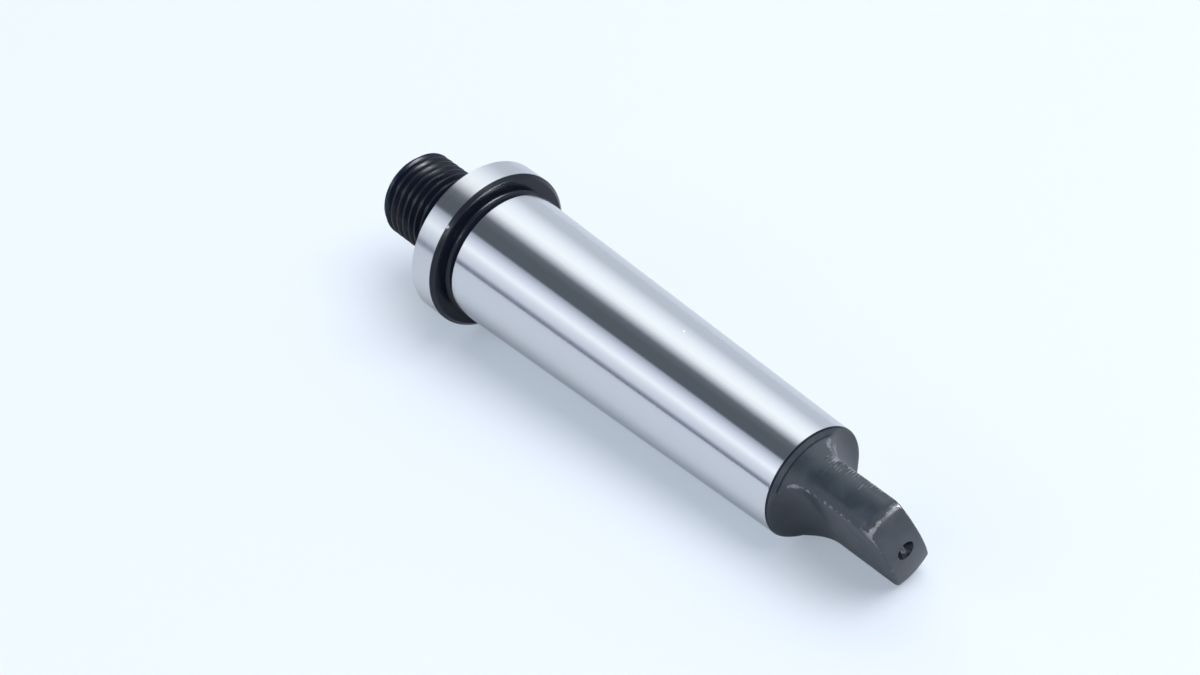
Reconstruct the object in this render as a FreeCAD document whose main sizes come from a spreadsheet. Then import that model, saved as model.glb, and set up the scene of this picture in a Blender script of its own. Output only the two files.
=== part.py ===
import FreeCAD, Part
import os
import Sketcher

# Drill chuck arbor, turned from one bar. The axis is Z. The threaded nose stands on z = 0 and the
# tang points up, which is how the arbor sits in a drill press spindle. All sizes are in millimetres.
#
# From the bottom: threaded nose, collar, undercut neck, Morse taper number 3, flattened tang.


# Driving dimensions

def write_sizes(doc):
    """Put every size that can be set on its own into the sheet."""
    sheet = doc.addObject("Spreadsheet::Sheet", "Sizes")
    row = 0

    def size(alias, value, meaning):
        nonlocal row
        row += 1
        sheet.set("A%d" % row, alias)
        sheet.set("B%d" % row, str(value))
        sheet.set("C%d" % row, meaning)
        sheet.setAlias("B%d" % row, alias)

    size("nose_length", 17.0, "threaded nose, from its end to the collar")
    size("thread_major", 15.8, "outside diameter of the 5/8 inch by 16 thread")
    size("nose_chamfer", 1.0, "45 degree lead chamfer at the end of the thread")
    size("relief_depth", 1.1, "thread relief beside the collar, below the crests")
    size("relief_width", 2.0, "length of the thread relief")

    size("collar_rise", 2.6, "ground outside of the collar, above the big end of the taper")
    size("collar_thickness", 6.0, "collar from front face to back face")
    size("collar_front_chamfer", 0.6, "chamfer on the thread side of the collar")
    size("collar_back_chamfer", 0.7, "chamfer on the taper side of the collar")

    size("neck_depth", 0.85, "undercut between collar and taper, below the big end")
    size("neck_width", 2.2, "length of the undercut")
    size("neck_fillet", 0.8, "fillet from the undercut up to the collar")

    size("taper_big_end", 24.1, "taper diameter where it leaves the undercut")
    size("taper_rate", 19.922, "length over which the diameter falls by 1")
    size("taper_length", 76.2, "ground length of the taper")
    size("taper_end_angle", 30.0, "slope to the axis of the bevel after the taper")

    size("tang_length", 21.3, "from the small end of the taper to the tip of the tang")
    size("tang_step", 0.6375, "turned side of the tang, below the small end of the taper")
    size("tang_thickness", 7.15, "distance between the two milled flats")
    size("tang_end_dome", 28.0, "radius of the domed end")
    size("tang_end_corner", 2.0, "radius between the dome and the turned side")
    size("runout_radius", 6.15, "cutter radius at the root of the flats")
    size("runout_setback", 0.35, "from the small end of the taper to where the cutter stops")
    size("tang_edge_round", 0.35, "rounding on the edges of the milled flats")
    size("root_groove_width", 0.6, "tool mark at the foot of the tang")
    size("root_groove_depth", 0.15, "depth of that tool mark")

    size("center_angle", 60.0, "included angle of the centre holes")
    size("nose_center_mouth", 5.0, "mouth of the centre hole in the nose")
    size("nose_center_pilot", 2.0, "pilot drill of the centre hole in the nose")
    size("nose_center_depth", 5.0, "depth of that pilot")
    size("tang_center_mouth", 3.4, "mouth of the centre hole in the tang")
    size("tang_center_pilot", 1.6, "pilot drill of the centre hole in the tang")
    size("tang_center_depth", 4.0, "depth of that pilot, from the tip")
    doc.recompute()


# Heights along the axis, written once and used by every feature

COLLAR_FRONT = "Sizes.nose_length"
COLLAR_BACK = "(Sizes.nose_length + Sizes.collar_thickness)"
BIG_END = "(%s + Sizes.neck_width)" % COLLAR_BACK
SMALL_END = "(%s + Sizes.taper_length)" % BIG_END
TIP = "(%s + Sizes.tang_length)" % SMALL_END
RUNOUT_WALL = "(%s + Sizes.runout_setback)" % SMALL_END
FLAT_START = "(%s + Sizes.runout_radius)" % RUNOUT_WALL

# Radii that several features share

NOSE_RADIUS = "(Sizes.thread_major / 2)"
RELIEF_RADIUS = "(%s - Sizes.relief_depth)" % NOSE_RADIUS
BIG_END_RADIUS = "(Sizes.taper_big_end / 2)"
COLLAR_RADIUS = "(%s + Sizes.collar_rise)" % BIG_END_RADIUS
NECK_RADIUS = "(%s - Sizes.neck_depth)" % BIG_END_RADIUS
SMALL_END_RADIUS = "(%s - Sizes.taper_length / Sizes.taper_rate / 2)" % BIG_END_RADIUS
TANG_RADIUS = "(%s - Sizes.tang_step)" % SMALL_END_RADIUS
HALF_TANG = "(Sizes.tang_thickness / 2)"

# Height at which the bevel after the taper has come down to the turned tang
TANG_ROOT = "(%s + Sizes.tang_step / tan(Sizes.taper_end_angle * 1deg))" % SMALL_END


# Sketch helper

class Outline:
    """A closed outline in a sketch, whose points are each held by two expressions.

    The first number of a point is its distance across from the axis and the second its height.
    """

    def __init__(self, body, name, plane_role):
        self.doc = body.Document
        self.sketch = body.newObject("Sketcher::SketchObject", name)
        self.sketch.AttachmentSupport = (origin_plane(body, plane_role), [""])
        self.sketch.MapMode = "FlatFace"
        self.points = []
        self.edges = []

    def value(self, expression):
        """The size in millimetres that an expression stands for."""
        result = self.sketch.evalExpression(expression)
        return float(getattr(result, "Value", result))

    def start(self, across, height):
        self.points.append((across, height))

    def line_to(self, across, height):
        self.edges.append(("line", None))
        self.points.append((across, height))

    def arc_to(self, across, height, center_across, center_height):
        """Every arc runs counterclockwise."""
        self.edges.append(("arc", (center_across, center_height)))
        self.points.append((across, height))

    def close(self):
        """Close the outline with a line back to its start."""
        self.edges.append(("line", None))
        return self.draw()

    def close_with_arc(self, center_across, center_height):
        """Close the outline with an arc back to its start."""
        self.edges.append(("arc", (center_across, center_height)))
        return self.draw()

    def draw(self):
        """Draw the edges, join them end to end and bind every point."""
        places = [FreeCAD.Vector(self.value(a), self.value(b), 0) for a, b in self.points]
        count = len(places)
        for index, (kind, center) in enumerate(self.edges):
            begin = places[index]
            finish = places[(index + 1) % count]
            if kind == "line":
                self.sketch.addGeometry(Part.LineSegment(begin, finish), False)
            else:
                self.draw_arc(begin, finish, center)
        for index in range(count):
            self.sketch.addConstraint(Sketcher.Constraint(
                "Coincident", index, 2, (index + 1) % count, 1))
        for index, (across, height) in enumerate(self.points):
            self.hold(index, across, height)
        for index, (kind, center) in enumerate(self.edges):
            if kind == "arc":
                self.hold_arc_center(index, center)
        self.doc.recompute()
        return self.sketch

    def draw_arc(self, begin, finish, center):
        middle = FreeCAD.Vector(self.value(center[0]), self.value(center[1]), 0)
        circle = Part.Circle(middle, FreeCAD.Vector(0, 0, 1), (begin - middle).Length)
        arc = Part.ArcOfCircle(circle, circle.parameter(begin), circle.parameter(finish))
        self.sketch.addGeometry(arc, False)

    def hold(self, edge, across, height):
        """Bind the start of an edge to its two expressions. A zero puts it on the sketch's axis."""
        for kind, expression, axis in (("DistanceX", across, -2), ("DistanceY", height, -1)):
            if expression == "0":
                self.sketch.addConstraint(Sketcher.Constraint("PointOnObject", edge, 1, axis))
            else:
                self.bind(Sketcher.Constraint(kind, -1, 1, edge, 1, self.value(expression)), expression)

    def hold_arc_center(self, edge, center):
        """An arc between two held ends needs only one more size: where its centre lies across."""
        if center[0] == "0":
            self.sketch.addConstraint(Sketcher.Constraint("PointOnObject", edge, 3, -2))
        else:
            across = self.value(center[0])
            self.bind(Sketcher.Constraint("DistanceX", -1, 1, edge, 3, across), center[0])

    def bind(self, constraint, expression):
        number = self.sketch.addConstraint(constraint)
        self.sketch.setExpression("Constraints[%d]" % number, expression)


def origin_plane(body, role):
    for plane in body.Origin.OriginFeatures:
        if plane.Role == role:
            return plane
    raise RuntimeError("no origin plane " + role)


def turn(body, kind, name, sketch):
    """Revolve an outline a full turn about the arbor's axis, adding or cutting."""
    feature = body.newObject(kind, name)
    feature.Profile = sketch
    feature.ReferenceAxis = (sketch, ["V_Axis"])
    feature.Angle = 360.0
    body.Document.recompute()
    return feature


def volume_after(body, before, name):
    """Check that a cut has taken material away."""
    after = body.Shape.Volume
    if not after < before:
        raise RuntimeError(name + " cuts nothing")
    print("%-16s %9.1f mm3" % (name, after))
    return after


# Features, in the order of the work

def turn_blank(body):
    """Nose, collar, taper and round tang with its domed end, turned in one outline."""
    dome_reach = "(Sizes.tang_end_dome - Sizes.tang_end_corner)"
    corner_across = "(%s - Sizes.tang_end_corner)" % TANG_RADIUS
    dome_center = "(%s - Sizes.tang_end_dome)" % TIP
    corner_height = "(%s + sqrt(%s ^ 2 - %s ^ 2))" % (dome_center, dome_reach, corner_across)
    dome_share = "(Sizes.tang_end_dome / %s)" % dome_reach
    dome_edge_across = "(%s * %s)" % (corner_across, dome_share)
    dome_edge_height = "(%s + (%s - %s) * %s)" % (dome_center, corner_height, dome_center, dome_share)

    outline = Outline(body, "blank_outline", "XZ_Plane")
    outline.start("0", "0")
    outline.line_to("(%s - Sizes.nose_chamfer)" % NOSE_RADIUS, "0")
    outline.line_to(NOSE_RADIUS, "Sizes.nose_chamfer")
    outline.line_to(NOSE_RADIUS, COLLAR_FRONT)
    outline.line_to("(%s - Sizes.collar_front_chamfer)" % COLLAR_RADIUS, COLLAR_FRONT)
    outline.line_to(COLLAR_RADIUS, "(%s + Sizes.collar_front_chamfer)" % COLLAR_FRONT)
    outline.line_to(COLLAR_RADIUS, "(%s - Sizes.collar_back_chamfer)" % COLLAR_BACK)
    outline.line_to("(%s - Sizes.collar_back_chamfer)" % COLLAR_RADIUS, COLLAR_BACK)
    outline.line_to(BIG_END_RADIUS, COLLAR_BACK)
    outline.line_to(BIG_END_RADIUS, BIG_END)
    outline.line_to(SMALL_END_RADIUS, SMALL_END)
    outline.line_to(TANG_RADIUS, TANG_ROOT)
    outline.line_to(TANG_RADIUS, corner_height)
    outline.arc_to(dome_edge_across, dome_edge_height, corner_across, corner_height)
    outline.arc_to("0", TIP, "0", dome_center)
    turn(body, "PartDesign::Revolution", "blank", outline.close())


def cut_neck(body):
    """Undercut between collar and taper, with a fillet on the collar side."""
    fillet_across = "(%s + Sizes.neck_fillet)" % NECK_RADIUS
    fillet_height = "(%s + Sizes.neck_fillet)" % COLLAR_BACK
    outline = Outline(body, "neck_outline", "XZ_Plane")
    outline.start(fillet_across, COLLAR_BACK)
    outline.line_to(COLLAR_RADIUS, COLLAR_BACK)
    outline.line_to(COLLAR_RADIUS, BIG_END)
    outline.line_to(NECK_RADIUS, BIG_END)
    outline.line_to(NECK_RADIUS, fillet_height)
    sketch = outline.close_with_arc(fillet_across, fillet_height)
    turn(body, "PartDesign::Groove", "neck", sketch)


def cut_relief(body):
    """Thread relief beside the collar, with a 45 degree run up to the thread."""
    low = "(%s - Sizes.relief_width)" % COLLAR_FRONT
    outline = Outline(body, "relief_outline", "XZ_Plane")
    outline.start(RELIEF_RADIUS, low)
    outline.line_to(NOSE_RADIUS, "(%s - Sizes.relief_depth)" % low)
    outline.line_to(NOSE_RADIUS, COLLAR_FRONT)
    outline.line_to(RELIEF_RADIUS, COLLAR_FRONT)
    turn(body, "PartDesign::Groove", "thread_relief", outline.close())


def cut_nose_center(body):
    """Centre hole in the end of the nose, on which the taper is ground true."""
    mouth = "(Sizes.nose_center_mouth / 2)"
    pilot = "(Sizes.nose_center_pilot / 2)"
    slope = "tan(Sizes.center_angle * 0.5deg)"
    outline = Outline(body, "nose_center_outline", "XZ_Plane")
    outline.start("0", "0")
    outline.line_to(mouth, "0")
    outline.line_to(pilot, "((%s - %s) / %s)" % (mouth, pilot, slope))
    outline.line_to(pilot, "Sizes.nose_center_depth")
    outline.line_to("0", "(Sizes.nose_center_depth + %s * %s)" % (pilot, slope))
    turn(body, "PartDesign::Groove", "nose_center", outline.close())


def cut_tang_center(body):
    """Centre hole in the domed end of the tang."""
    mouth = "(Sizes.tang_center_mouth / 2)"
    pilot = "(Sizes.tang_center_pilot / 2)"
    slope = "tan(Sizes.center_angle * 0.5deg)"
    outline = Outline(body, "tang_center_outline", "XZ_Plane")
    outline.start("0", TIP)
    outline.line_to(mouth, TIP)
    outline.line_to(pilot, "(%s - (%s - %s) / %s)" % (TIP, mouth, pilot, slope))
    outline.line_to(pilot, "(%s - Sizes.tang_center_depth)" % TIP)
    outline.line_to("0", "(%s - Sizes.tang_center_depth - %s * %s)" % (TIP, pilot, slope))
    turn(body, "PartDesign::Groove", "tang_center", outline.close())


def mill_flats(body):
    """Two parallel flats on the tang. Each ends in the radius of the cutter at its root."""
    outline = Outline(body, "flat_outline", "YZ_Plane")
    arc_center = "(%s + Sizes.runout_radius)" % HALF_TANG
    above_tip = "(%s + Sizes.tang_end_corner)" % TIP
    outline.start(arc_center, RUNOUT_WALL)
    outline.line_to(COLLAR_RADIUS, RUNOUT_WALL)
    outline.line_to(COLLAR_RADIUS, above_tip)
    outline.line_to(HALF_TANG, above_tip)
    outline.line_to(HALF_TANG, FLAT_START)
    sketch = outline.close_with_arc(arc_center, FLAT_START)

    pocket = body.newObject("PartDesign::Pocket", "flat")
    pocket.Profile = sketch
    pocket.Midplane = True
    pocket.Type = 0
    pocket.setExpression("Length", "4 * %s" % COLLAR_RADIUS)
    body.Document.recompute()

    both = body.newObject("PartDesign::Mirrored", "flats")
    both.Originals = [pocket]
    both.MirrorPlane = (origin_plane(body, "XZ_Plane"), [""])
    body.Tip = both
    body.Document.recompute()
    return both


def is_milled(face):
    """A flat of the tang, whose normal is along Y, or the run-out of the cutter at its root."""
    surface = face.Surface
    if isinstance(surface, Part.Plane):
        return abs(surface.Axis.y) > 0.99
    return isinstance(surface, Part.Cylinder) and abs(surface.Axis.x) > 0.99


def round_edges(body, flats):
    """Worn rounding where the milled flats meet the turned sides and the domed end."""
    tang_root = float(flats.evalExpression(TANG_ROOT))
    milled = [face for face in flats.Shape.Faces if is_milled(face)]
    names = []
    for number, edge in enumerate(flats.Shape.Edges, start=1):
        touching = [face for face in milled if any(edge.isSame(other) for other in face.Edges)]
        if len(touching) == 1 and edge.BoundBox.ZMax > tang_root + 0.1:
            names.append("Edge%d" % number)
    rounding = body.newObject("PartDesign::Fillet", "edge_rounding")
    rounding.Base = (flats, names)
    rounding.setExpression("Radius", "Sizes.tang_edge_round")
    body.Tip = rounding
    body.Document.recompute()


def cut_root_groove(body):
    """Shallow tool mark where the bevel after the taper meets the tang."""
    outline = Outline(body, "root_groove_outline", "XZ_Plane")
    outline.start("(%s - Sizes.root_groove_depth)" % TANG_RADIUS, TANG_ROOT)
    outline.line_to(TANG_RADIUS, TANG_ROOT)
    outline.line_to(TANG_RADIUS, "(%s + Sizes.root_groove_width)" % TANG_ROOT)
    turn(body, "PartDesign::Groove", "root_groove", outline.close())


def make_arbor(doc):
    body = doc.addObject("PartDesign::Body", "chuck_arbor")
    body.Label = "chuck_arbor"
    turn_blank(body)
    volume = body.Shape.Volume
    print("%-16s %9.1f mm3" % ("blank", volume))
    for cut in (cut_neck, cut_relief, cut_nose_center, cut_tang_center):
        cut(body)
        volume = volume_after(body, volume, cut.__name__)
    flats = mill_flats(body)
    volume = volume_after(body, volume, "mill_flats")
    round_edges(body, flats)
    volume = volume_after(body, volume, "round_edges")
    cut_root_groove(body)
    volume_after(body, volume, "cut_root_groove")
    return body


def check_objects(doc, bodies):
    """Every object of the document must be sound before anything is written."""
    for item in doc.Objects:
        if "Invalid" in item.State or "Error" in item.State:
            raise RuntimeError("%s is in state %s" % (item.Name, item.State))
    for body in bodies:
        shape = body.Shape
        if shape.isNull() or not shape.isValid() or len(shape.Solids) != 1:
            raise RuntimeError(body.Label + " has no single valid solid")


def main():
    doc = FreeCAD.newDocument("chuck_arbor")
    write_sizes(doc)
    arbor = make_arbor(doc)
    doc.recompute()
    check_objects(doc, [arbor])
    os.makedirs("parts", exist_ok=True)
    arbor.Shape.exportStep(os.path.join("parts", arbor.Label + ".step"))
    box = arbor.Shape.BoundBox
    print("box %.2f x %.2f x %.2f mm" % (box.XLength, box.YLength, box.ZLength))


main()
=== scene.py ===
import math

import bmesh
import bpy
import numpy as np
from mathutils import Matrix, Vector


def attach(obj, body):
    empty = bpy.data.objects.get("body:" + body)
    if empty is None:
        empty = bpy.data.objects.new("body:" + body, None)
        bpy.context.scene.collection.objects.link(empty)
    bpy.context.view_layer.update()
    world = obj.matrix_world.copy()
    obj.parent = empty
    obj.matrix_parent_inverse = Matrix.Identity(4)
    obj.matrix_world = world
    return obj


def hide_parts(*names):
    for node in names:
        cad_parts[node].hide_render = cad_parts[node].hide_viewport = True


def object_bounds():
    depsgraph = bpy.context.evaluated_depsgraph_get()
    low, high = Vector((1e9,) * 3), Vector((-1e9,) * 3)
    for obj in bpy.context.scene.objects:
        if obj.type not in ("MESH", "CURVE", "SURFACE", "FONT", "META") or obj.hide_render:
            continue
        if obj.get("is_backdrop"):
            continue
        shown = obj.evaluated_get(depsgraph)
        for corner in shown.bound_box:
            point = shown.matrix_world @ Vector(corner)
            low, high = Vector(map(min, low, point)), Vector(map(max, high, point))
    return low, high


# Looks of a drill chuck arbor. In its own frame it stands on the threaded nose with the tang up.
# One detailed skin replaces its only node: a real thread, rounded and worn edges, tool marks,
# ground and blackened steel. The table that the arbor lies on in the photograph is therefore
# tilted in this frame.

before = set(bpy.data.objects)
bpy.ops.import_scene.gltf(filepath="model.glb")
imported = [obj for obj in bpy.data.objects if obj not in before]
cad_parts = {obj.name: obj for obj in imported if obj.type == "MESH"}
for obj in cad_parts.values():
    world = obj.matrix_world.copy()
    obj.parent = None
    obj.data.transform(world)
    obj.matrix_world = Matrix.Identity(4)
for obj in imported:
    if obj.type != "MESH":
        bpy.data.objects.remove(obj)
cad_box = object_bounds()

MM = 0.001


# Sizes of the arbor in millimetres, heights from the end of the nose

THREAD_RADIUS = 7.9
THREAD_PITCH = 25.4 / 16
THREAD_DEPTH = 0.93
THREAD_START = -0.3
NOSE_CHAMFER = 1.0
RELIEF_RADIUS = 6.8
RELIEF_START = 15.0
COLLAR_FRONT = 17.0
COLLAR_BACK = 23.0
COLLAR_RADIUS = 14.65
COLLAR_FRONT_CHAMFER = 0.6
COLLAR_BACK_CHAMFER = 0.7
NECK_RADIUS = 11.2
NECK_FILLET = 0.8
BIG_END = 25.2
BIG_END_RADIUS = 12.05
SMALL_END = 101.4
SMALL_END_RADIUS = 10.1375
TANG_RADIUS = 9.5
BEVEL_ANGLE = math.radians(30)
TANG_ROOT = SMALL_END + (SMALL_END_RADIUS - TANG_RADIUS) / math.tan(BEVEL_ANGLE)
ROOT_GROOVE_WIDTH = 0.6
ROOT_GROOVE_DEPTH = 0.15
TIP = 122.7
END_DOME = 28.0
END_CORNER = 2.0
HALF_TANG = 3.575
RUNOUT_RADIUS = 6.15
RUNOUT_WALL = 101.75
FLAT_START = RUNOUT_WALL + RUNOUT_RADIUS
EDGE_ROUND = 0.35
CENTER_SLOPE = math.tan(math.radians(30))

FINISHES = ("ground", "ground_collar", "oxide", "satin_oxide")


# Columns of the skin. They crowd together where the flats of the tang meet its round sides.

COLUMNS_PER_QUARTER = 48
COLUMNS = 4 * COLUMNS_PER_QUARTER
CROWDING = 2.2
CROWDED_ANGLE = math.radians(4)


def column_angles():
    """Angles around the axis of every column, the same in all four quarters."""
    edge = math.asin(HALF_TANG / TANG_RADIUS)
    fine = np.linspace(0, math.pi / 2, 2001)
    density = 1 + CROWDING * np.exp(-((fine - edge) / CROWDED_ANGLE) ** 2)
    mass = np.concatenate([[0], np.cumsum((density[1:] + density[:-1]) / 2)])
    steps = np.arange(COLUMNS_PER_QUARTER + 1) / COLUMNS_PER_QUARTER
    quarter = np.interp(steps * mass[-1], mass, fine)
    half = np.concatenate([quarter[:-1], math.pi - quarter[:0:-1]])
    return np.concatenate([half, half + math.pi])


ANGLES = column_angles()
COS, SIN = np.cos(ANGLES), np.sin(ANGLES)


def circle(radius, height):
    """One place on every column. Radius and height are single or one for each column."""
    return np.stack([radius * COS, radius * SIN, np.broadcast_to(height, COLUMNS)], 1)


# The skin is grown ring by ring, from the centre hole of the nose to the centre hole of the tang

class Skin:
    def __init__(self):
        self.places = []
        self.faces = []
        self.finishes = []
        self.count = 0
        self.last = None

    def put(self, places):
        """Add places given as an array of x, y, z and return their numbers."""
        first = self.count
        self.places.append(places)
        self.count += len(places)
        return np.arange(first, self.count)

    def ring(self, radius, height, finish):
        """Join a new ring to the last one."""
        new = self.put(circle(radius, height))
        if self.last is not None:
            self.join(self.last, new, finish)
        self.last = new

    def join(self, low, high, finish):
        for here in range(COLUMNS):
            there = (here + 1) % COLUMNS
            self.faces.append((low[here], low[there], high[there], high[here]))
            self.finishes.append(FINISHES.index(finish))

    def open_from_point(self, point_height, radius, height, finish):
        """Start with a cone that opens from a point on the axis to a ring."""
        point = self.put(np.array([[0.0, 0.0, point_height]]))[0]
        self.last = self.put(circle(radius, height))
        for here in range(COLUMNS):
            self.faces.append((point, self.last[(here + 1) % COLUMNS], self.last[here]))
            self.finishes.append(FINISHES.index(finish))

    def close_to_point(self, height, finish):
        """End with a cone that closes to a point on the axis."""
        point = self.put(np.array([[0.0, 0.0, height]]))[0]
        for here in range(COLUMNS):
            self.faces.append((self.last[here], self.last[(here + 1) % COLUMNS], point))
            self.finishes.append(FINISHES.index(finish))


SUPPORT = 0.12
CRISP = 0.01


def eased(corners, steps):
    """A profile with each corner rounded and a ring kept close to both ends of every straight.

    Corners are (radius, height, rounding). The first and the last are left as they are.
    """
    points = [Vector(corners[0][:2])]
    for before, corner, after in zip(corners, corners[1:], corners[2:]):
        place = Vector(corner[:2])
        back = Vector(before[:2]) - place
        ahead = Vector(after[:2]) - place
        half = back.angle(ahead) / 2
        reach = corner[2] / math.tan(half)
        start = place + back.normalized() * reach
        inward = (back.normalized() + ahead.normalized()).normalized()
        center = place + inward * corner[2] / math.sin(half)
        sweep = math.pi - 2 * half
        turn = 1 if back.cross(ahead) < 0 else -1
        arc = [center + Matrix.Rotation(turn * sweep * i / steps, 2) @ (start - center)
               for i in range(steps + 1)]
        lead = (points[-1] - arc[0]).length
        if lead > 4 * SUPPORT:
            points.append(points[-1].lerp(arc[0], SUPPORT / lead))
            points.append(points[-1].lerp(arc[0], 1 - SUPPORT / lead))
        points.extend(arc)
    points.append(Vector(corners[-1][:2]))
    return [tuple(p) for p in points]


def turn_rings(skin, corners, finish, steps=4):
    for radius, height in eased(corners, steps)[1:]:
        skin.ring(radius, height, finish)


# The nose: centre hole, end face, thread and relief

NOSE_END_RADIUS = THREAD_RADIUS - NOSE_CHAMFER
NOSE_CENTER_MOUTH = 2.5
NOSE_CENTER_PILOT = 1.0
NOSE_CENTER_DEPTH = 5.0


def make_nose_end(skin):
    cone_height = (NOSE_CENTER_MOUTH - NOSE_CENTER_PILOT) / CENTER_SLOPE
    bottom = NOSE_CENTER_DEPTH + NOSE_CENTER_PILOT * CENTER_SLOPE
    skin.open_from_point(bottom, NOSE_CENTER_PILOT, NOSE_CENTER_DEPTH, "oxide")
    corners = [
        (NOSE_CENTER_PILOT, NOSE_CENTER_DEPTH, 0),
        (NOSE_CENTER_PILOT, cone_height, 0.05),
        (NOSE_CENTER_MOUTH, 0, 0.06),
        (NOSE_END_RADIUS, 0, 0),
    ]
    turn_rings(skin, corners, "oxide")


def envelope(height):
    """Turned radius of the nose, before the thread is cut."""
    lead = NOSE_END_RADIUS + height
    runout = THREAD_RADIUS - (height - (RELIEF_START - (THREAD_RADIUS - RELIEF_RADIUS)))
    return np.clip(np.minimum(lead, runout), 0, THREAD_RADIUS)


def thread_form():
    """One pitch of the thread as (share of the pitch, depth), from one crest to the next."""
    form = (
        (0.00, 0.0),
        (0.03, 0.005),
        (0.06, 0.03),
        (0.09, 0.09),
        (0.13, 0.19),
        (0.24, 0.50),
        (0.35, 0.83),
        (0.42, 0.96),
        (0.50, 1.0),
        (0.58, 0.96),
        (0.65, 0.83),
        (0.76, 0.50),
        (0.87, 0.19),
        (0.91, 0.09),
        (0.94, 0.03),
        (0.97, 0.005),
    )
    return [(share, part * THREAD_DEPTH) for share, part in form]


def cut_thread(skin):
    """A right-hand thread. Its rows climb one pitch a turn and end flat against both end rings."""
    form = thread_form()
    turns = math.ceil(RELIEF_START / THREAD_PITCH) + 2
    share = ANGLES / (2 * math.pi)
    rows = []
    for turn in range(-1, turns):
        for place, depth in form:
            climbed = THREAD_START + (turn + place + share) * THREAD_PITCH
            height = np.clip(climbed, 0, RELIEF_START)
            radius = np.minimum(envelope(height), THREAD_RADIUS - depth)
            rows.append(skin.put(circle(radius, height)))
    oxide = FINISHES.index("oxide")
    per_turn = len(form)
    for low in range(len(rows) - per_turn - 1):
        for here in range(COLUMNS):
            wraps = here == COLUMNS - 1
            there = 0 if wraps else here + 1
            climb = per_turn if wraps else 0
            skin.faces.append((rows[low][here], rows[low + climb][there],
                               rows[low + 1 + climb][there], rows[low + 1][here]))
            skin.finishes.append(oxide)
    # The end rings meet the clamped rows once doubled points are merged
    skin.last = None
    skin.ring(RELIEF_RADIUS, RELIEF_START, "oxide")


# The turned middle: relief, collar, neck and taper

RELIEF_FILLET = 0.3
COLLAR_FRONT_ROUND = 0.08
COLLAR_BACK_ROUND = 0.3
COLLAR_HOLD = 0.1
NECK_ROUND = 0.1
TAPER_RINGS = 16
TAPER_HOLD = 0.03
TAPER_MARGIN = 0.2


def make_middle(skin):
    rim_start = COLLAR_FRONT + COLLAR_FRONT_CHAMFER
    rim_end = COLLAR_BACK - COLLAR_BACK_CHAMFER
    fillet_start = NECK_RADIUS + NECK_FILLET + 0.1
    turn_rings(skin, [
        (RELIEF_RADIUS, RELIEF_START, 0),
        (RELIEF_RADIUS, COLLAR_FRONT, RELIEF_FILLET),
        (COLLAR_RADIUS - COLLAR_FRONT_CHAMFER, COLLAR_FRONT, COLLAR_FRONT_ROUND),
        (COLLAR_RADIUS, rim_start, 0),
    ], "oxide")
    turn_rings(skin, [
        (COLLAR_RADIUS, rim_start, 0),
        (COLLAR_RADIUS, rim_start + COLLAR_HOLD, CRISP),
        (COLLAR_RADIUS, rim_end - COLLAR_HOLD, CRISP),
        (COLLAR_RADIUS, rim_end, 0),
    ], "ground_collar")
    turn_rings(skin, [
        (COLLAR_RADIUS, rim_end, 0),
        (COLLAR_RADIUS - COLLAR_BACK_CHAMFER, COLLAR_BACK, COLLAR_BACK_ROUND),
        (fillet_start, COLLAR_BACK, 0),
    ], "oxide")
    turn_rings(skin, [
        (fillet_start, COLLAR_BACK, 0),
        (NECK_RADIUS, COLLAR_BACK, NECK_FILLET),
        (NECK_RADIUS, BIG_END, NECK_ROUND),
        (BIG_END_RADIUS, BIG_END, 0),
    ], "oxide", steps=8)
    skin.ring(BIG_END_RADIUS, BIG_END + TAPER_HOLD, "ground")
    for height in np.linspace(BIG_END + TAPER_MARGIN, SMALL_END - TAPER_MARGIN, TAPER_RINGS):
        share = (height - BIG_END) / (SMALL_END - BIG_END)
        skin.ring(BIG_END_RADIUS + share * (SMALL_END_RADIUS - BIG_END_RADIUS), height, "ground")
    skin.ring(SMALL_END_RADIUS, SMALL_END, "ground")


# The tang: round sides, two milled flats with the cutter's run-out, domed end

RIPPLE_PITCH = 0.60
RIPPLE_DEPTH = 0.06
RIPPLE_START = 2
RIPPLE_FADE = 3
CORNER_ACROSS = TANG_RADIUS - END_CORNER
DOME_CENTER = TIP - END_DOME
CORNER_HEIGHT = DOME_CENTER + math.sqrt((END_DOME - END_CORNER) ** 2 - CORNER_ACROSS ** 2)


def side_radius(height):
    """Radius of the turned tang up to its end corner, with the bevel and the root groove."""
    bevel = TANG_RADIUS + (TANG_ROOT - height) * math.tan(BEVEL_ANGLE)
    groove = TANG_RADIUS - ROOT_GROOVE_DEPTH * (1 - (height - TANG_ROOT) / ROOT_GROOVE_WIDTH)
    radius = np.where(height <= TANG_ROOT, bevel, np.minimum(groove, TANG_RADIUS))
    rippled = np.clip((height - TANG_ROOT - RIPPLE_START) / RIPPLE_FADE, 0, 1)
    along = height / RIPPLE_PITCH % 1
    return radius - rippled * RIPPLE_DEPTH * 4 * along * (1 - along)


def flat_reach(height):
    """Distance of the milled surface from the middle plane of the tang."""
    below = np.clip(FLAT_START - height, 0, RUNOUT_RADIUS)
    return HALF_TANG + RUNOUT_RADIUS - np.sqrt(RUNOUT_RADIUS ** 2 - below ** 2)


def end_profile():
    """Corner and dome of the end as lengths along it, radii and heights."""
    tilt = math.atan2(CORNER_HEIGHT - DOME_CENTER, CORNER_ACROSS)
    corner = np.linspace(0, tilt, 60)
    radii = list(CORNER_ACROSS + END_CORNER * np.cos(corner))
    heights = list(CORNER_HEIGHT + END_CORNER * np.sin(corner))
    dome = np.linspace(tilt, math.pi / 2, 400)[1:]
    radii += list(END_DOME * np.cos(dome))
    heights += list(DOME_CENTER + END_DOME * np.sin(dome))
    radii, heights = np.array(radii), np.array(heights)
    lengths = np.concatenate([[0], np.cumsum(np.hypot(np.diff(radii), np.diff(heights)))])
    return lengths, radii, heights


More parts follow.
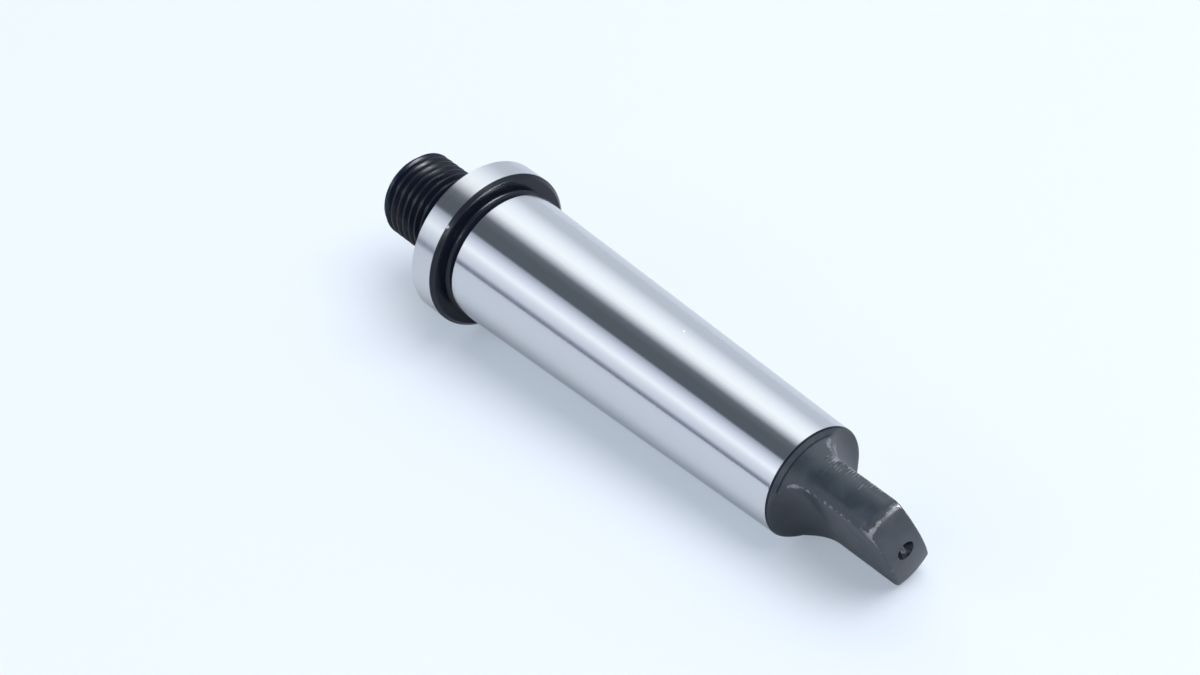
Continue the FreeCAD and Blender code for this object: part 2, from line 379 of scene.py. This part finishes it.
TANG_CENTER_MOUTH = 1.67
TANG_CENTER_PILOT = 0.8
TANG_CENTER_DEPTH = 4.0
SCOOP_ROWS = 34
SIDE_ROWS = 160
END_ROWS = 30
END_CROWDING = 1.35


def make_tang(skin):
    """The rings of the tang. Returns the numbers of their points, whose edges are rounded later."""
    first = skin.count
    cut = HALF_TANG / np.maximum(np.abs(SIN), 1e-6)

    def clipped(height):
        return np.minimum(side_radius(height), flat_reach(height) * cut / HALF_TANG)

    for height in (SMALL_END + 0.05, SMALL_END + 0.15, RUNOUT_WALL - 0.1, RUNOUT_WALL - 0.015):
        skin.ring(side_radius(np.full(COLUMNS, height)), height, "oxide")
    root = [RUNOUT_WALL, RUNOUT_WALL + 0.06, RUNOUT_WALL + 0.15]
    root += list(np.linspace(RUNOUT_WALL + 0.28, TANG_ROOT - 0.01, 5))
    groove_end = TANG_ROOT + ROOT_GROOVE_WIDTH
    root += list(np.linspace(TANG_ROOT + 0.015, groove_end, 5))
    scoop = list(np.linspace(groove_end + 0.1, FLAT_START, SCOOP_ROWS))
    for height in root + scoop:
        skin.ring(clipped(np.full(COLUMNS, height)), height, "satin_oxide")

    lengths, radii, heights = end_profile()
    flat = np.minimum(cut, TANG_RADIUS)
    edge_length = np.interp(flat, radii[::-1], lengths[::-1])
    edge_height = np.interp(edge_length, lengths, heights)
    for row in range(1, SIDE_ROWS + 1):
        height = FLAT_START + (edge_height - FLAT_START) * row / SIDE_ROWS
        skin.ring(flat, height, "satin_oxide")

    mouth_length = np.interp(TANG_CENTER_MOUTH, radii[::-1], lengths[::-1])
    for row in range(1, END_ROWS + 1):
        share = (row / END_ROWS) ** END_CROWDING
        length = edge_length + (mouth_length - edge_length) * share
        radius = np.interp(length, lengths, radii)
        skin.ring(radius, np.interp(length, lengths, heights), "satin_oxide")
    rounded = np.arange(first, skin.count)

    mouth_height = DOME_CENTER + math.sqrt(END_DOME ** 2 - TANG_CENTER_MOUTH ** 2)
    cone_bottom = mouth_height - (TANG_CENTER_MOUTH - TANG_CENTER_PILOT) / CENTER_SLOPE
    turn_rings(skin, [
        (TANG_CENTER_MOUTH, mouth_height, 0),
        (TANG_CENTER_MOUTH - 0.03, mouth_height - 0.05, CRISP),
        (TANG_CENTER_PILOT, cone_bottom, 0.05),
        (TANG_CENTER_PILOT, TIP - TANG_CENTER_DEPTH, 0),
    ], "oxide")
    skin.close_to_point(TIP - TANG_CENTER_DEPTH - TANG_CENTER_PILOT * CENTER_SLOPE, "oxide")
    return rounded


def outside_turned(places):
    """How far places lie outside the turned tang, less than nothing for inside."""
    radius = np.hypot(places[:, 0], places[:, 1])
    height = places[:, 2]
    side = radius - side_radius(height)
    side = np.where(height < TANG_ROOT, side * math.cos(BEVEL_ANGLE), side)
    corner = np.hypot(radius - CORNER_ACROSS, height - CORNER_HEIGHT) - END_CORNER
    dome = np.hypot(radius, height - DOME_CENTER) - END_DOME
    past_corner = radius * (CORNER_HEIGHT - DOME_CENTER) < CORNER_ACROSS * (height - DOME_CENTER)
    end = np.where(past_corner, dome, corner)
    return np.where(height < CORNER_HEIGHT, np.maximum(side, dome), end)


def outside_flats(places):
    """How far places lie outside the slab between the two milled surfaces."""
    across = np.abs(places[:, 1])
    height = places[:, 2]
    scoop = RUNOUT_RADIUS - np.hypot(across - HALF_TANG - RUNOUT_RADIUS, height - FLAT_START)
    wall = height - RUNOUT_WALL
    low = np.where(across > HALF_TANG + RUNOUT_RADIUS, wall, scoop)
    return np.where(height < FLAT_START, low, across - HALF_TANG)


def outside_rounded(places, rounding):
    """How far places lie outside the tang, with its edges rounded by a radius for each place."""
    turned = outside_turned(places) + rounding
    flats = outside_flats(places) + rounding
    both = np.hypot(np.maximum(turned, 0), np.maximum(flats, 0))
    return np.where(np.minimum(turned, flats) > 0, both, np.maximum(turned, flats)) - rounding


ROUND_FADE_START = 0.2
ROUND_FADE = 1.2
ROUND_LEAST = 0.12
ROUND_PASSES = 6


def round_edges(places):
    """Move points onto the tang with its rounded edges."""
    step = 0.002
    fade = (places[:, 2] - RUNOUT_WALL - ROUND_FADE_START) / ROUND_FADE
    rounding = EDGE_ROUND * np.clip(fade, ROUND_LEAST, 1)
    for _ in range(ROUND_PASSES):
        gap = outside_rounded(places, rounding)
        slope = np.stack([outside_rounded(places + step * axis, rounding)
                          - outside_rounded(places - step * axis, rounding)
                          for axis in np.eye(3)], 1) / (2 * step)
        steep = np.maximum((slope ** 2).sum(1), 0.25)
        near = outside_turned(places) + outside_flats(places) > -3 * EDGE_ROUND
        move = np.where(near, gap / steep, 0)
        places = places - slope * move[:, None]
    return places


# Wear, and painted light that goes through the same mask. Spots are given as degrees from +X,
# height, reach along the arbor and around it, and strength. The first rubbed spot is a nick in the
# rim of the collar, the others are on the tang.

EDGE_WEAR = 0.72
EDGE_REACH = 0.40
EDGE_FADE = 1.5
CORNER_WEAR = 0.72
CORNER_BEND = math.radians(48)
CORNER_SPREAD = math.radians(19)
RUBBED_SPOTS = (
    (19.5, 22.4, 0.35, 0.4, 1.9),
    (26, 105.0, 1.0, 0.9, 0.50),
    (23, 108.6, 2.2, 0.8, 0.40),
    (22, 113.0, 3.0, 0.6, 0.30),
    (21, 120.5, 0.8, 0.8, 0.40),
    (-17, 107.5, 3.0, 1.5, 0.62),
    (-26, 104.6, 1.8, 1.4, 0.55),
    (-50, 104.6, 2.4, 5.0, 0.95),
    (-78, 105.2, 2.6, 4.5, 0.72),
    (12, 119.6, 1.0, 1.5, 0.62),
)
# Painted glints: bright spots on the wall of the tang's centre hole, where light would glint, given
# like the rubbed spots
HOLE_GLINTS = (
    (185, 121.6, 0.80, 0.55, 2.0),
    (225, 121.9, 0.50, 0.40, 1.6),
    (150, 122.0, 0.50, 0.30, 1.5),
)
# Painted highlight: the crests of the turning ripples made bright in one spot, where light catches
# them
RIPPLE_HIGHLIGHT = (-13, 114.0, 6.0, 2.4, 1.10)


def spot_strength(azimuth, radius, height, spot):
    degrees, spot_height, along, around, strength = spot
    turn = (azimuth - math.radians(degrees) + math.pi) % (2 * math.pi) - math.pi
    away = ((height - spot_height) / along) ** 2 + (turn * radius / around) ** 2
    return strength * np.exp(-away)


def wear_and_glints(places):
    """How much each place is worn or painted bright: wear along the edges of the flats, at the end
    corner and in the listed rubbed spots, painted glints in the centre hole and a painted highlight
    on the ripple crests.
    """
    radius = np.hypot(places[:, 0], places[:, 1])
    azimuth = np.arctan2(places[:, 1], places[:, 0])
    height = places[:, 2]
    away = np.maximum(-outside_turned(places), -outside_flats(places))
    edges = np.exp(-(away / EDGE_REACH) ** 2) * np.clip((height - TANG_ROOT) / EDGE_FADE, 0, 1)
    bend = np.arctan2(height - CORNER_HEIGHT, radius - CORNER_ACROSS)
    on_corner = (radius > CORNER_ACROSS - 1) & (height > CORNER_HEIGHT)
    corner = np.where(on_corner, np.exp(-((bend - CORNER_BEND) / CORNER_SPREAD) ** 2), 0)
    spots_and_glints = np.zeros(len(places))
    for spot in RUBBED_SPOTS:
        spots_and_glints = np.maximum(spots_and_glints, spot_strength(azimuth, radius, height, spot))
    # Painted glints on the wall of the centre hole
    in_hole = radius < TANG_CENTER_MOUTH + 0.02
    for spot in HOLE_GLINTS:
        spots_and_glints = np.maximum(spots_and_glints, in_hole * spot_strength(azimuth, radius, height, spot))
    # Painted highlight on the ripple crests where light catches them
    crest = np.abs(height / RIPPLE_PITCH % 1 - 0.5) * 2
    ripple_highlights = crest ** 3 * spot_strength(azimuth, radius, height, RIPPLE_HIGHLIGHT)
    return EDGE_WEAR * edges + CORNER_WEAR * corner + spots_and_glints + ripple_highlights


# Building the piece

SHARP_ANGLE = math.radians(40)


def link_object(name, data):
    made = bpy.data.objects.new(name, data)
    bpy.context.scene.collection.objects.link(made)
    return made


def make_arbor():
    skin = Skin()
    make_nose_end(skin)
    cut_thread(skin)
    make_middle(skin)
    tang = make_tang(skin)

    places = np.concatenate(skin.places)
    places[tang] = round_edges(places[tang])
    # Wear, with painted glints in the centre hole and a painted highlight on the ripple crests
    wear_and_glint_amounts = wear_and_glints(places)

    mesh = bpy.data.meshes.new("arbor")
    faces = [tuple(int(number) for number in face) for face in skin.faces]
    mesh.from_pydata((places * MM).tolist(), [], faces)
    mesh.polygons.foreach_set("material_index", skin.finishes)
    layer = mesh.attributes.new("wear_and_glints", "FLOAT", "POINT")
    layer.data.foreach_set("value", wear_and_glint_amounts.astype(np.float32))

    shape = bmesh.new()
    shape.from_mesh(mesh)
    bmesh.ops.remove_doubles(shape, verts=shape.verts, dist=1e-7)
    bmesh.ops.dissolve_degenerate(shape, edges=shape.edges, dist=1e-8)
    loose = [vert for vert in shape.verts if not vert.link_faces]
    bmesh.ops.delete(shape, geom=loose, context="VERTS")
    shape.to_mesh(mesh)
    shape.free()

    mesh.shade_smooth()
    mesh.set_sharp_from_angle(angle=SHARP_ANGLE)
    return link_object("arbor", mesh)


# Materials

class Nodes:
    """Short names for making and linking the nodes of one material or world."""

    def __init__(self, tree):
        self.tree = tree
        self.tree.nodes.clear()

    def add(self, kind, **values):
        node = self.tree.nodes.new(kind)
        for name, value in values.items():
            setattr(node, name, value)
        return node

    def link(self, output, socket):
        self.tree.links.new(output, socket)

    def math(self, operation, *values):
        node = self.add("ShaderNodeMath", operation=operation)
        for socket, value in zip(node.inputs, values):
            if isinstance(value, (int, float)):
                socket.default_value = value
            else:
                self.link(value, socket)
        return node.outputs[0]

    def noise(self, coordinates, scale, detail, roughness=0.5):
        node = self.add("ShaderNodeTexNoise")
        node.inputs["Scale"].default_value = scale
        node.inputs["Detail"].default_value = detail
        node.inputs["Roughness"].default_value = roughness
        self.link(coordinates, node.inputs["Vector"])
        return node.outputs["Fac"]

    def scaled(self, factors):
        """Object coordinates, stretched by a factor along each axis."""
        place = self.add("ShaderNodeTexCoord")
        mapping = self.add("ShaderNodeMapping")
        mapping.inputs["Scale"].default_value = factors
        self.link(place.outputs["Object"], mapping.inputs["Vector"])
        return mapping.outputs["Vector"]

    def steps(self, value, low, high, to_low=0.0, to_high=1.0):
        """Smooth step from to_low at low up to to_high at high."""
        node = self.add("ShaderNodeMapRange", interpolation_type="SMOOTHSTEP")
        self.link(value, node.inputs["Value"])
        ends = {"From Min": low, "From Max": high, "To Min": to_low, "To Max": to_high}
        for name, number in ends.items():
            node.inputs[name].default_value = number
        return node.outputs["Result"]

    def mix_colors(self, factor, first, second):
        node = self.add("ShaderNodeMix", data_type="RGBA")
        self.link(factor, node.inputs["Factor"])
        for socket, value in ((node.inputs[6], first), (node.inputs[7], second)):
            if isinstance(value, tuple):
                socket.default_value = (*value, 1)
            else:
                self.link(value, socket)
        return node.outputs[2]

    def mix_shaders(self, factor, first, second):
        node = self.add("ShaderNodeMixShader")
        for socket, output in zip(node.inputs, (factor, first, second)):
            self.link(output, socket)
        return node.outputs[0]

    def bump(self, height, distance, after=None):
        node = self.add("ShaderNodeBump")
        node.inputs["Distance"].default_value = distance
        self.link(height, node.inputs["Height"])
        if after is not None:
            self.link(after, node.inputs["Normal"])
        return node.outputs["Normal"]


def new_material(name):
    material = bpy.data.materials.new(name)
    material.use_nodes = True
    nodes = Nodes(material.node_tree)
    shader = nodes.add("ShaderNodeBsdfPrincipled")
    output = nodes.add("ShaderNodeOutputMaterial")
    nodes.link(shader.outputs["BSDF"], output.inputs["Surface"])
    return material, nodes, shader


# Bright specks on the ground steel: radius, degrees from +X, height, reach

TAPER_SPECK = (10.93, -30.0, 69.9, 0.30)
COLLAR_SPECK = (14.65, 21.0, 21.9, 0.22)
SPECK_COLOR = (0.80, 0.80, 0.82)
SPECK_ROUGHNESS = 0.7


def speck_mask(nodes, speck):
    """1 inside a speck and 0 outside it."""
    radius, degrees, height, reach = speck
    turn = math.radians(degrees)
    center = Vector((radius * math.cos(turn), radius * math.sin(turn), height)) * MM
    place = nodes.add("ShaderNodeTexCoord")
    away = nodes.add("ShaderNodeVectorMath", operation="DISTANCE")
    nodes.link(place.outputs["Object"], away.inputs[0])
    away.inputs[1].default_value = center
    return nodes.steps(away.outputs["Value"], 0.5 * reach * MM, reach * MM, 1.0, 0.0)


# Noise is stretched by these factors across and along the axis, so that it draws lines around it

GRINDING_LINES = (160, 160, 5200)
GRINDING_GRIT = (1300, 1300, 6600)
TURNING_MARKS = (120, 120, 3600)
GRIT_HEIGHT = 0.0000025
TURNING_HEIGHT = 0.000008
GRAIN_HEIGHT = 0.000012
SCUFF_HEIGHT = 0.00004


def ground_steel(name, color, roughness, speck):
    """Cylindrically ground steel. The fine grinding lines run around the axis."""
    material, nodes, shader = new_material(name)
    shader.inputs["Metallic"].default_value = 1.0
    shader.inputs["Anisotropic"].default_value = 0.95
    shader.inputs["Anisotropic Rotation"].default_value = 0.25
    tangent = nodes.add("ShaderNodeTangent", direction_type="RADIAL", axis="Z")
    nodes.link(tangent.outputs["Tangent"], shader.inputs["Tangent"])
    marked = speck_mask(nodes, speck)
    nodes.link(nodes.mix_colors(marked, color, SPECK_COLOR), shader.inputs["Base Color"])
    lines = nodes.noise(nodes.scaled(GRINDING_LINES), 1.0, detail=3.0)
    rough = nodes.steps(lines, 0.3, 0.7, *roughness)
    dull = nodes.math("MULTIPLY", marked, SPECK_ROUGHNESS)
    nodes.link(nodes.math("MAXIMUM", rough, dull), shader.inputs["Roughness"])
    grit = nodes.noise(nodes.scaled(GRINDING_GRIT), 1.0, detail=2.0)
    nodes.link(nodes.bump(grit, GRIT_HEIGHT), shader.inputs["Normal"])
    return material


BARE_COLOR = (0.30, 0.31, 0.34)
PIT_COLOR = (0.012, 0.009, 0.011)


def bare_steel_and_glints(nodes, shader, oxide):
    """Where the wear and painted glints of the skin are high, bare steel in broken patches and dark
    pits between them. In the centre hole and on the ripple crests these patches are painted glints
    and a painted highlight, not wear.

    Returns how bare or painted bright each place is.
    """
    plain = nodes.scaled((1, 1, 1))
    wear_and_glints = nodes.add("ShaderNodeAttribute", attribute_name="wear_and_glints")
    broken = nodes.noise(plain, 900.0, detail=6.0, roughness=0.68)
    patches = nodes.steps(nodes.noise(plain, 420.0, detail=2.0), 0.40, 0.60, 0.72, 1.22)
    reach = nodes.math("MULTIPLY", wear_and_glints.outputs["Fac"], patches)
    bare_or_glinting = nodes.steps(nodes.math("MULTIPLY", reach, broken), 0.31, 0.52, 0.0, 0.85)
    between = nodes.math("SUBTRACT", 1.0, broken)
    pits = nodes.steps(nodes.math("MULTIPLY", reach, between), 0.33, 0.48)
    pitted = nodes.mix_colors(pits, oxide, PIT_COLOR)
    nodes.link(nodes.mix_colors(bare_or_glinting, pitted, BARE_COLOR), shader.inputs["Base Color"])
    nodes.link(nodes.steps(bare_or_glinting, 0.0, 1.0, 0.0, 0.7), shader.inputs["Metallic"])
    return bare_or_glinting


NOSE_BLUE = (0.004, 0.009, 0.028)
BLACK = (0.0075, 0.0108, 0.021)
BLUE_END, BLACK_START = 1.0, 2.6


def black_oxide():
    """Glossy blackened steel with fine turning marks, bluer at the end of the nose, with painted
    glints on the wall of the tang's centre hole.
    """
    material, nodes, shader = new_material("black_oxide")
    place = nodes.add("ShaderNodeTexCoord")
    height = nodes.add("ShaderNodeSeparateXYZ")
    nodes.link(place.outputs["Object"], height.inputs[0])
    inward = nodes.steps(height.outputs["Z"], BLUE_END * MM, BLACK_START * MM)
    bare_steel_and_glints(nodes, shader, nodes.mix_colors(inward, NOSE_BLUE, BLACK))
    shader.inputs["IOR"].default_value = 1.41
    marks = nodes.noise(nodes.scaled(TURNING_MARKS), 1.0, detail=2.0)
    nodes.link(nodes.steps(marks, 0.3, 0.7, 0.20, 0.30), shader.inputs["Roughness"])
    nodes.link(nodes.bump(marks, TURNING_HEIGHT), shader.inputs["Normal"])
    return material


SATIN_DARK = (0.024, 0.033, 0.044)
SATIN_LIGHT = (0.041, 0.054, 0.070)


def satin_oxide():
    """Duller blackened steel of the tang, rubbed bright along its edges, with a painted highlight
    on the crests of its turning ripples.
    """
    material, nodes, shader = new_material("satin_oxide")
    plain = nodes.scaled((1, 1, 1))
    cloudy = nodes.noise(plain, 220.0, detail=5.0)
    oxide = nodes.mix_colors(nodes.steps(cloudy, 0.35, 0.7), SATIN_DARK, SATIN_LIGHT)
    bare_or_glinting = bare_steel_and_glints(nodes, shader, oxide)
    shader.inputs["IOR"].default_value = 1.6
    nodes.link(nodes.steps(cloudy, 0.3, 0.7, 0.30, 0.42), shader.inputs["Roughness"])
    grain = nodes.noise(plain, 2600.0, detail=4.0)
    scuffs = nodes.bump(bare_or_glinting, SCUFF_HEIGHT)
    nodes.link(nodes.bump(grain, GRAIN_HEIGHT, after=scuffs), shader.inputs["Normal"])
    return material


# The table. The arbor lies on it with the rim of its collar and a low corner of its tang.

TABLE_AZIMUTH = math.radians(-24.3)
TABLE_REACH = 2.5
TABLE_COLOR = (0.59, 0.60, 0.635)
TABLE_GLOW = (0.26, 0.30, 0.345)
TABLE_GLOW_REFLECTED = 0.48
TANG_LOW_REACH = 9.47
TANG_LOW_HEIGHT = 120.6


def table_normal():
    """Direction away from the table, square to it, in the frame of the arbor."""
    drop = COLLAR_RADIUS - TANG_LOW_REACH
    tilt = math.atan2(drop, TANG_LOW_HEIGHT - (COLLAR_BACK - COLLAR_BACK_CHAMFER))
    level = math.cos(tilt)
    return Vector((level * math.cos(TABLE_AZIMUTH),
                   level * math.sin(TABLE_AZIMUTH),
                   -math.sin(tilt)))


def table_material():
    """Matt pale top. It is clear from below, and glows a little for the camera and in the steel."""
    material = bpy.data.materials.new("table_top")
    material.use_nodes = True
    nodes = Nodes(material.node_tree)
    matt = nodes.add("ShaderNodeBsdfDiffuse")
    matt.inputs["Color"].default_value = (*TABLE_COLOR, 1)
    glow = nodes.add("ShaderNodeEmission")
    glow.inputs["Color"].default_value = (*TABLE_GLOW, 1)
    path = nodes.add("ShaderNodeLightPath")
    reflected = nodes.math("MULTIPLY", path.outputs["Is Glossy Ray"], TABLE_GLOW_REFLECTED)
    seen = nodes.math("MAXIMUM", path.outputs["Is Camera Ray"], reflected)
    nodes.link(seen, glow.inputs["Strength"])
    top = nodes.add("ShaderNodeAddShader")
    nodes.link(matt.outputs[0], top.inputs[0])
    nodes.link(glow.outputs[0], top.inputs[1])
    side = nodes.add("ShaderNodeNewGeometry")
    clear = nodes.add("ShaderNodeBsdfTransparent")
    both = nodes.mix_shaders(side.outputs["Backfacing"], top.outputs[0], clear.outputs[0])
    output = nodes.add("ShaderNodeOutputMaterial")
    nodes.link(both, output.inputs["Surface"])
    return material


def make_table():
    up = table_normal()
    rim = (COLLAR_BACK - COLLAR_BACK_CHAMFER) * MM
    contact = Vector((0, 0, rim)) - up * (COLLAR_RADIUS * MM / math.hypot(up.x, up.y))
    along = Vector((0, 0, 1)).cross(up).normalized()
    across = up.cross(along)
    corners = [contact + TABLE_REACH * (a * along + b * across)
               for a, b in ((-1, -1), (1, -1), (1, 1), (-1, 1))]
    mesh = bpy.data.meshes.new("table")
    mesh.from_pydata(corners, [], [(0, 1, 2, 3)])
    if mesh.polygons[0].normal.dot(up) < 0:
        mesh.flip_normals()
    mesh.materials.append(table_material())
    link_object("table", mesh)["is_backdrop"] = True


# The light of the room by direction around the arbor's axis, in degrees from +X. On the nose side
# it has a wall, an overhead panel, the dark middle of the ceiling, a side panel and the dark line
# at the far edge of the table.

ROOM_NOSE_SIDE = (
    (-125, (0.67, 0.73, 0.82)),
    (-90, (0.67, 0.73, 0.82)),
    (-64, (1.15, 1.22, 1.30)),
    (-46, (1.30, 1.36, 1.39)),
    (-36, (1.08, 1.14, 1.21)),
    (-20, (0.17, 0.19, 0.23)),
    (-8, (0.12, 0.14, 0.16)),
    (11, (0.12, 0.14, 0.17)),
    (13.5, (0.46, 0.51, 0.60)),
    (22, (0.79, 0.85, 0.99)),
    (37, (1.21, 1.28, 1.37)),
    (46, (0.94, 1.01, 1.10)),
    (58, (0.75, 0.80, 0.93)),
    (63, (0.33, 0.36, 0.46)),
    (67, (0.19, 0.23, 0.29)),
    (75, (0.67, 0.73, 0.82)),
)

# Room on the tang side, which takes over between these two heights of the direction

TANG_SIDE_START, TANG_SIDE_FULL = -0.20, 0.10
ROOM_TANG_SIDE = (
    (-125, (0.45, 0.52, 0.62)),
    (-70, (0.50, 0.56, 0.66)),
    (-30, (0.30, 0.34, 0.40)),
    (10, (0.26, 0.29, 0.34)),
    (30, (0.60, 0.65, 0.72)),
    (54, (0.40, 0.46, 0.55)),
)

# Lamps on the tang side that only show as glints: direction, half angle in degrees, light

LAMPS = (
    ("window", (0.143, -0.517, 0.844), 11, 24.0),
    ("side_lamp", (0.64, 0.39, 0.66), 5, 17.0),
    ("top_lamp", (0.56, -0.62, 0.54), 4, 13.0),
)
LAMP_DISTANCE = 2.0
LAMP_COLOR = (0.97, 0.99, 1.0)

# A softbox over the arbor makes its shadow on the table and is not mirrored in the steel

SOFTBOX_AZIMUTH = math.radians(-36)
SOFTBOX_RISE = 0.25
SOFTBOX_DISTANCE = 1.8
SOFTBOX_SIZE = 1.5
SOFTBOX_LIGHT = 4.0

# Past the table the camera sees this plain colour and not the room that the steel mirrors

BACKDROP_COLOR = (0.87, 0.94, 1.0)


def room_ramp(nodes, share, stops):
    """Colours by direction, where share goes from 0 to 1 around the axis."""
    ramp = nodes.add("ShaderNodeValToRGB")
    nodes.link(share, ramp.inputs["Fac"])
    while len(ramp.color_ramp.elements) < len(stops):
        ramp.color_ramp.elements.new(1.0)
    for element, (azimuth, color) in zip(ramp.color_ramp.elements, stops):
        element.position = azimuth / 360 + 0.5
        element.color = (*color, 1)
    return ramp.outputs["Color"]


def make_room():
    world = bpy.data.worlds.new("room")
    world.use_nodes = True
    bpy.context.scene.world = world
    nodes = Nodes(world.node_tree)
    place = nodes.add("ShaderNodeTexCoord")
    parts = nodes.add("ShaderNodeSeparateXYZ")
    nodes.link(place.outputs["Generated"], parts.inputs[0])
    around = nodes.math("ARCTAN2", parts.outputs["Y"], parts.outputs["X"])
    share = nodes.math("MULTIPLY_ADD", around, 1 / (2 * math.pi), 0.5)
    tang_side = nodes.steps(parts.outputs["Z"], TANG_SIDE_START, TANG_SIDE_FULL)
    light = nodes.mix_colors(tang_side, room_ramp(nodes, share, ROOM_NOSE_SIDE),
                             room_ramp(nodes, share, ROOM_TANG_SIDE))
    lit = nodes.add("ShaderNodeBackground")
    nodes.link(light, lit.inputs["Color"])
    seen = nodes.add("ShaderNodeBackground")
    seen.inputs["Color"].default_value = (*BACKDROP_COLOR, 1)
    path = nodes.add("ShaderNodeLightPath")
    either = nodes.mix_shaders(path.outputs["Is Camera Ray"], lit.outputs[0], seen.outputs[0])
    output = nodes.add("ShaderNodeOutputWorld")
    nodes.link(either, output.inputs["Surface"])


def make_lamp(name, direction, distance, size, light):
    """A round lamp that faces the middle of the arbor, with its brightness given as seen."""
    data = bpy.data.lights.new(name, "AREA")
    data.shape = "DISK"
    data.size = size
    data.color = LAMP_COLOR
    data.energy = light * math.pi * math.pi * (size / 2) ** 2
    lamp = link_object(name, data)
    lamp.location = Vector((0, 0, TIP / 2 * MM)) + direction.normalized() * distance
    lamp.rotation_euler = direction.to_track_quat("Z", "Y").to_euler()
    return lamp


def make_lamps():
    for name, direction, half_angle, light in LAMPS:
        size = 2 * LAMP_DISTANCE * math.tan(math.radians(half_angle))
        lamp = make_lamp(name, Vector(direction), LAMP_DISTANCE, size, light)
        lamp.visible_diffuse = False
    over = Vector((math.cos(SOFTBOX_AZIMUTH), math.sin(SOFTBOX_AZIMUTH), SOFTBOX_RISE))
    softbox = make_lamp("softbox", over, SOFTBOX_DISTANCE, SOFTBOX_SIZE, SOFTBOX_LIGHT)
    softbox.visible_glossy = False


# The camera, in metres in the frame of the arbor

CAMERA_PLACE = Vector((0.46692, 0.10309, 0.40233))
CAMERA_AIM = Vector((-0.00033, 0.00151, 0.05111))
CAMERA_UP = Vector((0.5143, -0.7118, -0.4783))
FOCAL_LENGTH = 106.84
SENSOR_WIDTH = 36


def make_camera():
    """The camera looks down at the arbor with the tang towards it."""
    ahead = (CAMERA_AIM - CAMERA_PLACE).normalized()
    right = ahead.cross(CAMERA_UP).normalized()
    turned = Matrix((right, right.cross(ahead), -ahead)).transposed()
    data = bpy.data.cameras.new("camera")
    data.sensor_width = SENSOR_WIDTH
    data.lens = FOCAL_LENGTH
    data.clip_start = 0.01
    camera = link_object("camera", data)
    camera.matrix_world = Matrix.Translation(CAMERA_PLACE) @ turned.to_4x4()
    bpy.context.scene.camera = camera


TAPER_COLOR = (0.68, 0.697, 0.72)
TAPER_ROUGHNESS = (0.08, 0.15)
COLLAR_COLOR = (0.655, 0.668, 0.685)
COLLAR_ROUGHNESS = (0.14, 0.22)

# The order of the materials is that of FINISHES

arbor = make_arbor()
finishes = (
    ground_steel("ground_steel", TAPER_COLOR, TAPER_ROUGHNESS, TAPER_SPECK),
    ground_steel("ground_collar", COLLAR_COLOR, COLLAR_ROUGHNESS, COLLAR_SPECK),
    black_oxide(),
    satin_oxide(),
)
for finish in finishes:
    arbor.data.materials.append(finish)
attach(arbor, "root")
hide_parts("chuck_arbor")

make_table()
make_room()
make_lamps()
make_camera()
bpy.context.scene.view_settings.view_transform = "Standard"

boxes = {"cad": cad_box, "visual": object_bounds()}
boxes = {name: [list(corner) for corner in box] for name, box in boxes.items()}
